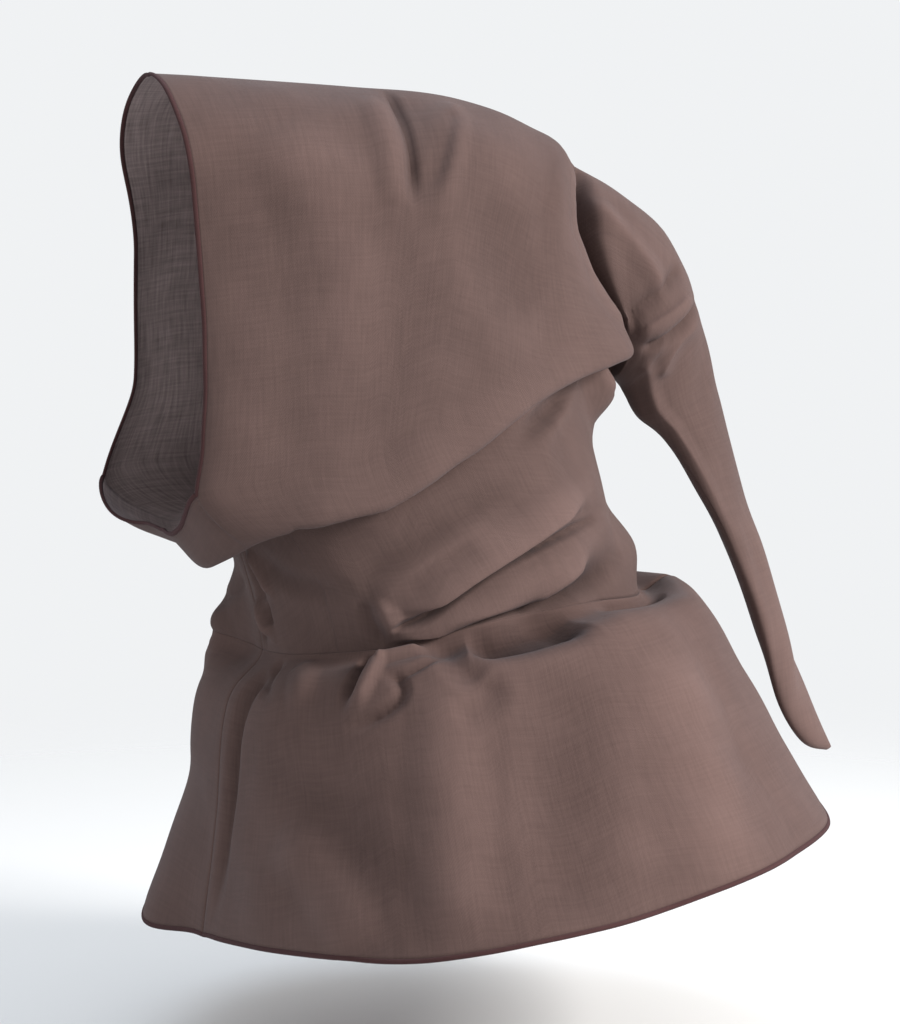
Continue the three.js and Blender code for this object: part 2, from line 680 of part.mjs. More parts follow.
const pieces = [
  ['hood_left', clothFrom(hoodPanels[0], () => wall), cloth],
  ['hood_right', clothFrom(hoodPanels[1], () => wall), cloth],
  ['liripipe', clothFrom(tail, tailWall), cloth],
  ['cape_left', clothFrom(capePanels[0], () => wall), cloth],
  ['cape_right', clothFrom(capePanels[1], () => wall), cloth],
  ['face_hem', rolledHem(faceRing), hemCloth],
  ['cape_hem', rolledHem(hemRing), hemCloth],
];

const group = new THREE.Group();
for (const [name, geometry, finish] of pieces) {
  const mesh = new THREE.Mesh(geometry, new THREE.MeshStandardMaterial(finish));
  mesh.name = name;
  group.add(mesh);
}

export default group;
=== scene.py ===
import math

import bpy
import numpy as np
from mathutils import Matrix, Vector


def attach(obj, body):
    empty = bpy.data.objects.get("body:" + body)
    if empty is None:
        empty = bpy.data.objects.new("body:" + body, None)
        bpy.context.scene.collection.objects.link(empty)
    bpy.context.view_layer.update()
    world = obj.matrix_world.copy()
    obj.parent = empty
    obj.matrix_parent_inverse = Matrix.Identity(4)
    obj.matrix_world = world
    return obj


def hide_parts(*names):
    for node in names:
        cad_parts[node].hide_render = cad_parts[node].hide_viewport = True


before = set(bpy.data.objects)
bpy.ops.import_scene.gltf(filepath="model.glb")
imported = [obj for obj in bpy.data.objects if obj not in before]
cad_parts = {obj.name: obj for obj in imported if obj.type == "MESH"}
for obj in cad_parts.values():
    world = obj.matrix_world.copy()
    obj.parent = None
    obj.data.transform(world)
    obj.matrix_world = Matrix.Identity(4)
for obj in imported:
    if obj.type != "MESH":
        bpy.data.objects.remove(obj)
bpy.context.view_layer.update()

bpy.ops.object.select_all(action="DESELECT")
print("Frame loaded")

mm = 0.001  # the tables are in millimetres, the meshes in metres
tiny = 1e-9


# Tables: a row for each section, with named columns
def table(columns, rows):
    return {name: np.array([row[i] for row in rows], float) for i, name in enumerate(columns)}


lineColumns = ["station", "x", "y", "z"]
topLine = table(["station", "y", "z"], [
    [0, -157, 10],
    [0.2, -97, 7.5],
    [0.4, -32, 4],
    [0.6, 30, -1],
    [0.8, 80, -17],
    [0.93, 101, -29.5],
    [1, 117, -43],
])
headShape = table(["station", "halfWidth", "crown", "bow"], [
    [0, 60, 0.27, 9],
    [0.2, 74, 0.33, 4],
    [0.4, 84, 0.38, 2],
    [0.6, 86, 0.4, 0],
    [0.8, 73, 0.42, -8],
    [0.88, 67, 0.4, -14],
    [0.91, 60, 0.4, -16],
    [0.95, 38, 0.4, -18],
    [1, 12, 0.4, -22],
])
jawLine = table(lineColumns, [
    [-0.3, 0, -151, -261],
    [-0.15, 40, -154, -256],
    [0, 76, -152, -232],
    [0.2, 94, -100, -222],
    [0.4, 100, -52, -207],
    [0.6, 101, -8, -184],
    [0.8, 90, 52, -155],
    [0.93, 57, 119, -134],
    [1, 15, 130, -136],
])
foldLine = table(lineColumns, [
    [-0.3, 0, -130, -280],
    [-0.15, 38, -130, -277],
    [0, 74, -122, -263],
    [0.2, 95, -86, -247],
    [0.4, 101, -46, -231],
    [0.6, 101, -2, -206],
    [0.8, 87, 60, -174],
    [0.93, 53, 131, -158],
    [1, 10, 140, -158],
])
tuckLine = table(lineColumns, [
    [-0.3, 0, -112, -264],
    [-0.15, 30, -108, -262],
    [0, 58, -98, -251],
    [0.2, 78, -72, -236],
    [0.4, 86, -38, -222],
    [0.6, 84, 2, -197],
    [0.8, 68, 54, -166],
    [0.93, 40, 102, -156],
    [1, 0, 141, -171],
])
neckLine = table(lineColumns, [
    [-0.3, 0, -97, -298],
    [-0.15, 36, -92, -296],
    [0, 68, -75, -292],
    [0.2, 92, -46, -285],
    [0.4, 103, -12, -274],
    [0.6, 104, 30, -260],
    [0.8, 86, 78, -244],
    [0.93, 50, 113, -236],
    [1, 0, 129, -235],
])
seamLine = table(lineColumns, [
    [-0.3, 0, -90, -335],
    [-0.15, 36, -84, -333],
    [0, 66, -64, -329],
    [0.2, 92, -36, -323],
    [0.4, 105, 4, -312],
    [0.6, 102, 46, -306],
    [0.8, 86, 92, -304],
    [0.93, 52, 138, -306],
    [1, 0, 160, -308],
])
shoulderLine = table(lineColumns, [
    [-0.3, 0, -112, -366],
    [-0.15, 46, -105, -360],
    [0, 84, -86, -352],
    [0.2, 118, -52, -340],
    [0.4, 134, -4, -328],
    [0.6, 133, 56, -318],
    [0.8, 111, 126, -312],
    [0.93, 63, 174, -308],
    [1, 0, 191, -305],
])
hemLine = table(lineColumns, [
    [-0.3, 0, -129, -507],
    [-0.15, 76, -121, -498],
    [0, 140, -100, -490],
    [0.2, 194, -62, -483],
    [0.4, 221, -6, -472],
    [0.6, 217, 72, -462],
    [0.8, 174, 180, -448],
    [0.9, 112, 239, -445],
    [1, 0, 281, -446],
])
rollLine = table(["station", "upper", "crease", "lower"], [
    [-0.3, 4.3, 4.52, 4.76],
    [0, 4.4, 4.62, 4.82],
    [0.2, 4.4, 4.66, 4.85],
    [0.54, 4.04, 4.27, 4.58],
    [0.88, 3.84, 4.04, 4.32],
    [1, 3.8, 4, 4.26],
])
tailColumns = ["step", "outerX", "outerY", "outerZ", "innerX", "innerY", "innerZ", "half"]
tailLine = table(tailColumns, [
    [0, 0, 117.5, -43, 0, 141, -171, 15],
    [0.9, 0, 131, -49, 0, 142.5, -173, 18],
    [1.3, 0, 138, -53, 0, 143, -173.5, 37],
    [2, 0, 152, -62, 1, 144, -175, 42],
    [3, 0, 174, -82, 2, 146, -177, 41],
    [4, 0, 190, -106, 3, 148, -179, 36],
    [5, -1, 198, -126, 5, 150, -182, 27],
    [6, -4, 206, -148, 7, 153, -188, 22],
    [7, -8, 214, -172, 10, 160, -200, 19],
    [8, -14, 227, -204, 15, 176, -214, 14],
    [9, -18, 242, -253, 18, 205, -256, 10],
    [10, -20, 259, -307, 19, 233, -310, 9],
    [11, -17, 271, -343, 17, 247, -349, 8],
    [12, -10, 288, -384, 10, 261, -389, 7],
    [13, -5, 300, -410, 6, 280, -415, 5],
    [14, 0, 305, -423, 0, 303, -425, 1.5],
])
turnLine = table(["turn", "share"], [
    [0, 0],
    [0.08, 0.2],
    [0.15, 0.36],
    [0.333, 0.63],
    [0.667, 0.8],
    [1, 1],
])

# How soon the tail leaves the hood's open edge, on its outer side and on its underside
joinSteps = {"wide": (0.8, 1.6), "onward": (3, 1.6)}
underside = {"from": 0.35, "run": 0.3}
besideStep = 0.05  # the tail's direction is taken this far before and after a step

# Levels go down the hood from its ridge, and the lines from the jaw to the neck seam lie at 1 to 5
level = {"ridge": 0, "crownEnd": 0.45, "cheek": 0.8, "jaw": 1, "fold": 2, "tuck": 3, "seam": 5}
rolledGrid = {"free": 3.3, "upper": 4.1, "crease": 4.3, "lower": 4.5}
capeStretches = 3  # from the seam to the shoulder, halfway down and the hem


def ease(t):
    inside = np.clip(t, 0, 1)
    return inside * inside * (3 - 2 * inside)


def along(rows, key, column, at):  # a smooth curve through one column of a table
    keys, values = rows[key], rows[column]
    gaps = np.diff(keys)
    slopes = np.diff(values) / gaps
    inner = (slopes[:-1] * gaps[1:] + slopes[1:] * gaps[:-1]) / (gaps[:-1] + gaps[1:])
    first = 1.5 * slopes[0] - 0.5 * inner[0]
    last = 1.5 * slopes[-1] - 0.5 * inner[-1]
    pulls = np.concatenate([[first], inner, [last]])
    i = np.clip(np.searchsorted(keys, at, side="right") - 1, 0, len(gaps) - 1)
    t = (at - keys[i]) / gaps[i]
    endWeight = ease(t)
    startPull = (t ** 3 - 2 * t ** 2 + t) * gaps[i]
    endPull = (t ** 3 - t ** 2) * gaps[i]
    blend = (1 - endWeight) * values[i] + endWeight * values[i + 1]
    return blend + startPull * pulls[i] + endPull * pulls[i + 1]


def pointOn(rows, station):
    return np.stack([along(rows, "station", axis, station) for axis in "xyz"], axis=-1)


def through(points, at):  # the curve through a row of points, whose first one only sets its direction
    last = len(points) - 1
    row = np.stack(points + [2 * points[-1] - points[-2]])
    i = np.clip(np.floor(at).astype(int), 0, last - 2)
    t = (at - i)[:, None]
    n = np.arange(len(at))
    before, start, end, after = (row[i + k, n] for k in range(4))
    startPull, endPull = (end - before) / 2, (after - start) / 2
    return (start + (end - start) * ease(t)
            + startPull * (t ** 3 - 2 * t ** 2 + t) + endPull * (t ** 3 - t ** 2))


def headPoint(u, v):
    topY, topZ = (along(topLine, "station", axis, u) for axis in "yz")
    halfWidth, crown, bow = (along(headShape, "station", name, u) for name in ("halfWidth", "crown", "bow"))
    jaw = pointOn(jawLine, u)
    turned = np.clip(v / level["crownEnd"], 0, 1) * math.pi / 2
    below = np.clip((v - level["crownEnd"]) / (level["jaw"] - level["crownEnd"]), 0, None)
    fall = crown * (1 - np.cos(turned)) + (1 - crown) * below
    x = halfWidth * np.sin(turned) + (jaw[:, 0] - halfWidth) * ease(below)
    y = topY + (jaw[:, 1] - topY) * fall + bow * 4 * fall * (1 - fall)
    z = topZ + (jaw[:, 2] - topZ) * fall
    return np.stack([x, y, z], axis=-1)


def hoodPoint(u, v):
    lines = [pointOn(rows, u) for rows in (jawLine, foldLine, tuckLine, neckLine, seamLine)]
    cheek = headPoint(u, np.full_like(u, level["cheek"]))
    above = np.where(u[:, None] >= 0, cheek, 2 * lines[0] - lines[1])
    lower = through([above] + lines, np.clip(v - level["jaw"], 0, None))
    return np.where(v[:, None] < level["jaw"], headPoint(u, v), lower)


def rolledLevel(u, v):  # grid lines follow the rolls of the neck
    knots = [(rolledGrid["free"], np.full_like(u, rolledGrid["free"]))]
    for name in ("upper", "crease", "lower"):
        knots.append((rolledGrid[name], along(rollLine, "station", name, u)))
    knots.append((level["seam"], np.full_like(u, level["seam"])))
    rolled = v.copy()
    for (gridFrom, placeFrom), (gridTo, placeTo) in zip(knots, knots[1:]):
        share = (v - gridFrom) / (gridTo - gridFrom)
        inside = (v > gridFrom) & (v <= gridTo)
        rolled = np.where(inside, placeFrom + (placeTo - placeFrom) * share, rolled)
    return rolled


def hoodGridPoint(u, v):
    return hoodPoint(u, rolledLevel(u, v))


def capePoint(u, v):
    neck, seam, shoulder, hem = (pointOn(rows, u) for rows in (neckLine, seamLine, shoulderLine, hemLine))
    return through([neck, seam, shoulder, (shoulder + hem) / 2, hem], v * capeStretches)


def tailPoint(step, turn):  # a turn runs from -1 to 1 round the tail, with 0 on its outer edge
    def edge(name, at):
        return np.stack([along(tailLine, "step", name + axis, at) for axis in "XYZ"], axis=-1)

    outer, inner = edge("outer", step), edge("inner", step)
    before = np.clip(step - besideStep, 0, None)
    after = np.clip(step + besideStep, None, tailLine["step"][-1])
    onward = edge("outer", after) + edge("inner", after) - edge("outer", before) - edge("inner", before)
    across = (outer - inner) / 2
    left = unit(np.cross(onward, across))
    left *= (np.sign(left[:, 0]) * along(tailLine, "step", "half", step))[:, None]
    angle = (np.sign(turn) * math.pi * along(turnLine, "turn", "share", np.abs(turn)))[:, None]
    tube = (outer + inner) / 2 + across * np.cos(angle) + left * np.sin(angle)
    join = hoodPoint(np.ones_like(turn), level["tuck"] * np.abs(turn))
    join[:, 0] *= np.sign(turn)
    under = ease((np.abs(turn) - underside["from"]) / underside["run"])
    widened, freed = (ease(step / (outerRun + (innerRun - outerRun) * under))
                      for outerRun, innerRun in (joinSteps["wide"], joinSteps["onward"]))
    return join + (tube - join) * np.stack([widened, freed, freed], axis=-1)


def unit(vectors):
    return vectors / np.maximum(np.linalg.norm(vectors, axis=-1, keepdims=True), tiny)


def spaced(stops, counts):  # grid lines between stops, closer where the cloth turns sharply
    parts = [np.linspace(a, b, n, endpoint=False) for a, b, n in zip(stops, stops[1:], counts)]
    return np.concatenate(parts + [[stops[-1]]])


# A sheet is a grid of points, with the cells left out that the panel doesn't have
def gridSheet(us, vs, pointAt, keeps=None, closed=False):
    columns = len(vs)
    u, v = (axis.ravel() for axis in np.meshgrid(us, vs, indexing="ij"))
    i, j = np.meshgrid(np.arange(len(us) - 1), np.arange(columns if closed else columns - 1), indexing="ij")
    i, j = i.ravel(), j.ravel()
    if keeps is not None:
        kept = keeps(us[i], vs[j])
        i, j = i[kept], j[kept]
    nextJ = (j + 1) % columns
    row, nextRow = i * columns, (i + 1) * columns
    faces = np.stack([row + j, row + nextJ, nextRow + nextJ, nextRow + j], axis=1)
    used, faces = np.unique(faces, return_inverse=True)
    u, v = u[used], v[used]
    return {"u": u, "v": v, "faces": faces.reshape(-1, 4), "place": pointAt(u, v), "height": np.zeros(len(u))}


def crossesOf(sheet):  # along each face's normal, and twice as long as its area
    corners = sheet["place"][sheet["faces"]]
    return np.cross(corners[:, 2] - corners[:, 0], corners[:, 3] - corners[:, 1])


def areaOf(sheet):
    return np.linalg.norm(crossesOf(sheet), axis=1).sum() / 2 * mm ** 2


def normalsOf(sheet):
    crosses = crossesOf(sheet)
    points, count = sheet["faces"].ravel(), len(sheet["place"])
    summed = [np.bincount(points, np.repeat(crosses[:, axis], 4), count) for axis in range(3)]
    return unit(np.stack(summed, axis=-1))


# Folds: how far each stands out or sinks in, how wide it is, how far its ridge leans over to one
# side, how sharp it is, and three places along it. A fold that runs back leans down, and one that
# runs down leans forward, where lean is above 0.
foldColumns = ["rise", "reach", "lean", "sharp", "fromU", "fromV", "viaU", "viaV", "toU", "toV"]
foldSettings = {"samples": 14, "fade": 0.3, "endShare": 0.3}


def foldPath(fold, pointAt):
    t = np.linspace(0, 1, foldSettings["samples"] + 1)
    spots = []
    for axis in "UV":
        start, via, end = fold["from" + axis], fold["via" + axis], fold["to" + axis]
        bend = 2 * via - (start + end) / 2
        spots.append((1 - t) ** 2 * start + 2 * t * (1 - t) * bend + t ** 2 * end)
    return pointAt(*spots)


def foldSheet(sheet, folds, pointAt, calm, side=1, only=True):
    normals = normalsOf(sheet)
    place = sheet["place"]
    moved = np.zeros_like(place)
    for k in range(len(folds["rise"])):
        fold = {name: values[k] for name, values in folds.items()}
        path = foldPath(fold, pointAt)
        low, high = path.min(axis=0) - fold["reach"], path.max(axis=0) + fold["reach"]
        near = np.flatnonzero(((place > low) & (place < high)).all(axis=1) & only)
        if len(near) == 0:
            continue
        starts, steps = path[:-1], np.diff(path, axis=0)
        offset = place[near, None, :] - starts
        t = np.clip((offset * steps).sum(-1) / np.maximum((steps ** 2).sum(-1), tiny), 0, 1)
        gap = offset - t[..., None] * steps
        distance = np.linalg.norm(gap, axis=-1)
        best = distance.argmin(axis=1)
        rows = np.arange(len(near))
        share = (best + t[rows, best]) / foldSettings["samples"]
        ratio = np.clip(distance[rows, best] / fold["reach"], 0, 1)
        soft, crease = (1 - ratio ** 2) ** 2, (1 - ratio) ** 2
        profile = soft + (crease - soft) * fold["sharp"]
        ends = ease(np.minimum(share, 1 - share) / foldSettings["fade"] + foldSettings["endShare"])
        profile = profile * ends * calm(sheet["u"][near], sheet["v"][near])
        over = unit(np.cross(unit(steps[best]), normals[near])) * side
        risen, leant = fold["rise"] * profile, fold["lean"] * profile ** 2
        moved[near] += normals[near] * risen[:, None] + over * leant[:, None]
        sheet["height"][near] += risen
    sheet["place"] = place + moved


def foldsOf(folds, side):
    return {name: values[folds["side"] == side] for name, values in folds.items()}


hoodFolds = table(["side"] + foldColumns, [
    [1, -6, 7, 0, 0.8, 0.45, 0.06, 0.448, 0.22, 0.446, 0.4],
    [1, -3, 22, 0, 0, 0.47, 0.1, 0.47, 0.25, 0.465, 0.42],
    [1, 3, 14, 0, 0, 0.4, 0.12, 0.4, 0.28, 0.41, 0.42],
    [1, -3, 10, 0, 0.7, 0.56, 0.16, 0.53, 0.26, 0.49, 0.38],
    [1, 3, 12, 0, 0.5, 0.57, 0.1, 0.55, 0.24, 0.5, 0.42],
    [1, 4, 36, 0, 0, 0.2, 0.25, 0.28, 0.5, 0.3, 0.8],
    [1, -3, 32, 0, 0, 0.6, 0.35, 0.7, 0.6, 0.8, 0.85],
    [1, 4, 10, -3, 0.7, 0.92, 0.2, 0.93, 0.6, 0.94, 1.3],
    [1, 3, 22, 6, 0, 0.1, 1.8, 0.45, 1.88, 0.9, 1.75],
    [1, 2, 9, 4, 0.3, 0.28, 2, 0.56, 2.02, 0.88, 1.95],
    [1, -8, 14, 0, 0.3, 0.3, 3.12, 0.6, 3.14, 0.88, 3.08],
    [1, -3, 7, 0, 0.6, 0.12, 2, 0.18, 2.05, 0.25, 2.15],
    [1, 6, 10, 3, 0, 0.72, 3.3, 0.86, 3.18, 0.96, 3.02],
    [1, -5, 10, 0, 0.4, 0.72, 3.5, 0.86, 3.4, 0.95, 3.22],
    [1, 3, 7, 0, 0.5, 0.78, 3.64, 0.885, 3.46, 0.96, 3.1],
    [1, 9, 12, 0, 0, 0.95, 2.9, 0.965, 3.1, 0.95, 3.3],
    [1, -3, 16, 0, 0.2, 0.1, 3.75, 0.383, 3.615, 0.66, 3.74],
    [1, 4, 11, 3, 0, 0.15, 3.88, 0.35, 3.78, 0.6, 3.88],
    [1, -2, 8, 0, 0.4, 0.24, 3.98, 0.38, 3.92, 0.49, 3.94],
    [1, 8, 15, 9, 0, 0.2, 4.12, 0.54, 4.1, 0.86, 4.2],
    [1, -11, 4, 0, 1, 0.2, 4.335, 0.48, 4.3, 0.84, 4.4],
    [1, 7, 14, 6, 0, 0.2, 4.58, 0.5, 4.61, 0.87, 4.5],
    [1, -12, 12, 0, 0.2, 0.3, 4.97, 0.6, 5, 0.88, 4.72],
    [1, 5, 11, 0, 0, 0.19, 4, 0.18, 4.15, 0.21, 4.38],
    [1, -2.5, 9, 0, 0.3, 0.13, 3.95, 0.125, 4.2, 0.17, 4.55],
    [1, 4, 6, 4, 0, 0.6, 4.77, 0.7, 4.64, 0.78, 4.6],
    [1, 4, 6, 0, 0.3, -0.215, 3.35, -0.2, 3.6, -0.18, 3.86],
    [1, -4, 8, 0, 0.5, -0.25, 3.35, -0.24, 3.7, -0.235, 4],
    [1, 6, 7, 0, 0, -0.28, 3.98, -0.255, 4.2, -0.22, 4.46],
    [1, -7, 8, 0, 0.3, -0.3, 4, -0.29, 4.3, -0.272, 4.7],
    [1, -4, 5, 0, 0.6, -0.215, 3.98, -0.22, 4.14, -0.217, 4.3],
    [1, -3, 12, 0, 0.3, -0.17, 3.4, -0.08, 3.7, 0.06, 3.8],
    [-1, -4, 14, 0, 0.6, 0.49, 0.08, 0.51, 0.24, 0.54, 0.42],
    [-1, 4, 36, 0, 0, 0.25, 0.3, 0.33, 0.5, 0.38, 0.8],
    [-1, 4, 10, -3, 0.7, 0.92, 0.2, 0.93, 0.6, 0.94, 1.3],
    [-1, 3, 22, 5, 0, 0.1, 1.8, 0.45, 1.88, 0.9, 1.75],
    [-1, 8, 17, 6, 0, 0.24, 4.1, 0.5, 4.1, 0.86, 4.1],
    [-1, -9, 10, 0, 0.7, 0.22, 4.3, 0.52, 4.3, 0.88, 4.3],
    [-1, 7, 14, 5, 0, 0.22, 4.55, 0.54, 4.55, 0.86, 4.5],
    [-1, 5, 12, 0, 0, 0.94, 3.05, 0.86, 3.2, 0.76, 3.3],
    [-1, 4, 10, 0, 0, -0.22, 3.1, -0.12, 3.4, -0.02, 3.7],
    [-1, -2, 9, 0, 0.4, -0.24, 3.7, -0.16, 4, -0.06, 4.3],
])
capeFolds = table(["side"] + foldColumns, [
    [1, -3, 8, 0, 0.6, -0.165, 0.02, -0.18, 0.16, -0.14, 0.3],
    [1, 2.5, 13, 0, 0, -0.1, 0.08, -0.06, 0.2, -0.04, 0.36],
    [1, -7, 7, 0, 0.6, 0.093, 0.02, 0.105, 0.2, 0.08, 0.37],
    [1, 6, 9, 0, 0, 0.28, 0.09, 0.2, 0.12, 0.14, 0.15],
    [1, 5, 9, -2, 0, 0.14, 0.14, 0.145, 0.27, 0.1, 0.39],
    [1, -4, 6, 0, 0.6, 0.31, 0.24, 0.25, 0.3, 0.2, 0.3],
    [1, -5, 7, 0, 0.6, 0.2, 0.3, 0.22, 0.39, 0.1, 0.44],
    [1, -5, 16, 0, 0.2, 0.3, 0.04, 0.35, 0.28, 0.4, 0.4],
    [1, -3, 15, 0, 0.2, 0.42, 0.4, 0.4, 0.45, 0.33, 0.48],
    [1, -15, 27, 0, 0.1, 0.38, 0.15, 0.52, 0.19, 0.68, 0.16],
    [1, 5, 30, 0, 0, 0.36, 0.36, 0.29, 0.66, 0.29, 1],
    [1, -2.4, 26, 0, 0.2, -0.16, 0.52, 0.05, 0.68, 0.2, 0.92],
    [1, 4, 26, 0, 0, -0.1, 0.68, 0.02, 0.85, 0.06, 1],
    [1, -6, 13, 0, 0.6, -0.2, 0.14, -0.245, 0.45, -0.275, 0.95],
    [1, -9, 12, 0, 0.3, 0.8, 0.05, 0.87, 0.06, 0.95, 0.06],
    [1, 5, 44, 0, 0, 0.76, 0.4, 0.73, 0.7, 0.7, 1],
    [1, -5, 40, 0, 0, 0.57, 0.4, 0.52, 0.7, 0.49, 1],
    [-1, 3, 13, 0, 0, -0.1, 0.24, 0.02, 0.34, 0.1, 0.48],
    [-1, -5, 11, 0, 0.4, 0.06, 0.1, 0.1, 0.2, 0.16, 0.3],
    [-1, 6, 13, 0, 0, 0.18, 0.1, 0.22, 0.22, 0.3, 0.38],
    [-1, -8, 15, 0, 0.3, 0.36, 0.1, 0.5, 0.13, 0.7, 0.1],
    [-1, 7, 36, 0, 0, 0.48, 0.3, 0.42, 0.62, 0.38, 1],
    [-1, -6, 32, 0, 0, 0.28, 0.5, 0.24, 0.76, 0.22, 1],
    [-1, 5, 44, 0, 0, 0.8, 0.4, 0.77, 0.7, 0.75, 1],
])
tailFolds = table(["side"] + foldColumns, [
    [1, 4, 12, 0, 0.6, 1.2, 0.1, 2, 0.14, 2.9, 0.22],
    [1, -5, 10, 0, 0.8, 3.5, 0.1, 2.8, 0.2, 1.6, 0.36],
    [1, 5, 11, 5, 0, 4.3, 0.12, 3.4, 0.26, 2.1, 0.38],
    [1, -6, 7, 0, 0.8, 4.9, 0.08, 4, 0.28, 2.5, 0.41],
    [1, 4, 11, 0, 0.7, 5.2, 0.12, 4.9, 0.28, 5.6, 0.4],
    [1, 3, 8, 0, 0.6, 3.6, 0.5, 6, 0.62, 9.4, 0.84],
    [1, 3, 16, 0, 0, 9, 0.2, 10.5, 0.25, 12, 0.3],
    [-1, 4, 10, 0, 0, 5, 0.1, 3.8, 0.5, 2.2, 0.76],
    [-1, -4, 9, 0, 0.3, 5.6, 0.24, 4.4, 0.6, 3.2, 0.84],
])
# Places where the whole cloth is drawn to one side, and how far that reaches
draws = table(["x", "y", "z", "byX", "byY", "byZ", "reach"], [
    [-76, -152, -232, -3, -14, -1, 60],
    [-58, -150, -30, -1, -7, 0, 66],
    [-100, -128, -110, 0, -6, 0, 80],
    [42, -130, -278, 0, -4, -1, 34],
    [-20, -128, -280, 0, 2, 7, 42],
    [-56, -80, -322, -4, -20, 2, 46],
    [-70, -92, -386, 0, -10, 0, 90],
    [-78, -118, -498, 0, -23, -16, 88],
    [98, 48, -312, -9, -4, -3, 36],
    [22, 122, -183, 8, 12, 0, 24],
    [40, 128, -276, 2, 8, 0, 32],
    [-56, -157, -250, 0, -5, -7, 34],
    [77, -149, -228, 0, -2, 0, 26],
    [-54, -76, -331, -2, -9, 0, 24],
])


waveSizes = (0.6, 1.6)  # the shortest and the longest wave, as shares of a piece's usual one


def uneven(place, waves, size, rise, seed):  # the cloth is never quite smooth
    chance = np.random.default_rng(seed)
    total = np.zeros(len(place))
    for _ in range(waves):
        direction = unit(chance.normal(size=3))
        length = size * chance.uniform(*waveSizes)
        total += np.sin(place @ direction * 2 * math.pi / length + chance.uniform(0, 2 * math.pi))
    return rise * total * math.sqrt(2 / waves)


# At a seam the cloth sinks in, and the panels overlap a little
seamSink = {"depth": 0.7, "reach": 1.8, "overlap": 0.15}


def settlePanel(sheet, side, seams):
    place = sheet["place"]
    place[:, 0] *= side
    start = place.copy()
    for k in range(len(draws["x"])):
        centre = np.array([draws[axis][k] for axis in "xyz"])
        by = np.array([draws["by" + axis][k] for axis in "XYZ"])
        share = ease(1 - np.linalg.norm(start - centre, axis=1) / draws["reach"][k])
        place += by * share[:, None]
    if side < 0:
        sheet["faces"] = sheet["faces"][:, ::-1]
    sunk = seamSink["depth"] * np.exp(-(place[:, 0] / seamSink["reach"]) ** 2)
    place -= normalsOf(sheet) * sunk[:, None]
    place[:, 0] = side * np.maximum(side * place[:, 0], -seamSink["overlap"])
    place[seams, 0] = -side * seamSink["overlap"]


# The cloth's own width and length at each point, for its weave. The width is taken along one row,
# and the columns under the chin start further down.
def measure(sheet, rowV, chinStart=0):
    place, u, v = sheet["place"], sheet["u"], sheet["v"]
    order = np.lexsort((v, u))
    run = np.linalg.norm(np.diff(place[order], axis=0), axis=1)
    same = u[order][1:] == u[order][:-1]
    length = np.concatenate([[0], np.cumsum(np.where(same, run, 0))])
    firsts = np.concatenate([[True], ~same])
    length -= np.repeat(length[firsts], np.diff(np.append(np.flatnonzero(firsts), len(u))))
    lengthAt = np.empty(len(u))
    lengthAt[order] = length
    lengthAt += np.where(u < 0, chinStart, 0)
    onRow = v == rowV
    rowOrder = np.argsort(u[onRow])
    rowPlace = place[onRow][rowOrder]
    widths = np.concatenate([[0], np.cumsum(np.linalg.norm(np.diff(rowPlace, axis=0), axis=1))])
    sheet["width"] = np.interp(u, u[onRow][rowOrder], widths)
    sheet["length"] = lengthAt


def pieceOf(name, mesh, materials):
    for material in materials:
        mesh.materials.append(material)
    mesh.shade_smooth()
    piece = bpy.data.objects.new(name, mesh)
    bpy.context.scene.collection.objects.link(piece)
    bpy.context.view_layer.objects.active = piece
    return piece


# Painted shade and light: sunk cloth in fold valleys is painted darker and raised cloth paler, in full at
# this height
paintedFoldShadeScale = {"full": 8, "lowest": -1.8, "highest": 1}


def makeCloth(name, sheet, thickness, materials):
    mesh = bpy.data.meshes.new(name)
    mesh.from_pydata((sheet["place"] * mm).tolist(), [], [list(face) for face in sheet["faces"]])
    loops = np.empty(len(mesh.loops), int)
    mesh.loops.foreach_get("vertex_index", loops)
    weave = mesh.uv_layers.new(name="weave")
    spots = np.stack([sheet["width"][loops], sheet["length"][loops]], axis=1)
    weave.data.foreach_set("uv", spots.ravel() * mm)
    # Painted shade: each point keeps its fold height, so its colour is painted darker in fold valleys and
    # paler on raised cloth
    crest = mesh.attributes.new("crest", "FLOAT", "POINT")
    heights = sheet["height"] / paintedFoldShadeScale["full"]
    crest.data.foreach_set("value", np.clip(heights, paintedFoldShadeScale["lowest"], paintedFoldShadeScale["highest"]))
    piece = pieceOf(name, mesh, materials)
    wall = piece.modifiers.new("wall", "SOLIDIFY")
    wall.thickness = thickness * mm
    wall.offset = -1
    wall.material_offset = 1  # the inside has a slubbier weave of its own, and a paler colour that is painted light
    bpy.ops.object.modifier_apply(modifier=wall.name)
    return piece


# Materials: shader maths as expressions on sockets
class Wire:
    def __init__(self, socket, tree):
        self.socket, self.tree = socket, tree

    def math(self, operation, other):
        return node(self.tree, "ShaderNodeMath", {"operation": operation}, {0: self, 1: other})

    def __add__(self, other):
        return self.math("ADD", other)

    def __sub__(self, other):
        return self.math("SUBTRACT", other)

    def __mul__(self, other):
        return self.math("MULTIPLY", other)

    def __truediv__(self, other):
        return self.math("DIVIDE", other)


def node(tree, kind, settings, inputs, output=0):
    made = tree.nodes.new(kind)
    for key, value in settings.items():
        setattr(made, key, value)
    for key, value in inputs.items():
        if isinstance(value, Wire):
            tree.links.new(value.socket, made.inputs[key])
        else:
            made.inputs[key].default_value = value
    return Wire(made.outputs[output], tree)


def sine(wire):
    return node(wire.tree, "ShaderNodeMath", {"operation": "SINE"}, {0: wire})


